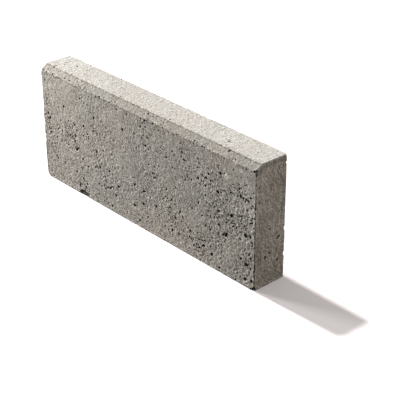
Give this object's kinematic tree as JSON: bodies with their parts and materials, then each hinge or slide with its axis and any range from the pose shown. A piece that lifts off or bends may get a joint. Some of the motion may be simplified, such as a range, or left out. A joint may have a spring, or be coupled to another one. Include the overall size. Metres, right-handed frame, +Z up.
{
  "type": "concrete kerb",
  "caption": "Straight upright concrete edging kerb: a plain rectangular block with one chamfered top edge, bedded end to end to edge a path, bed or lawn.",
  "frame": {"origin": "on the bed, below the middle of the block", "axes": "+X along the kerb, -Y out of the chamfered front face, +Z up"},
  "size_m": [0.5, 0.06, 0.2],
  "materials": {
    "concrete": "matte"
  },
  "bodies": {
    "root": {"kerb": "concrete"}
  },
  "joints": []
}
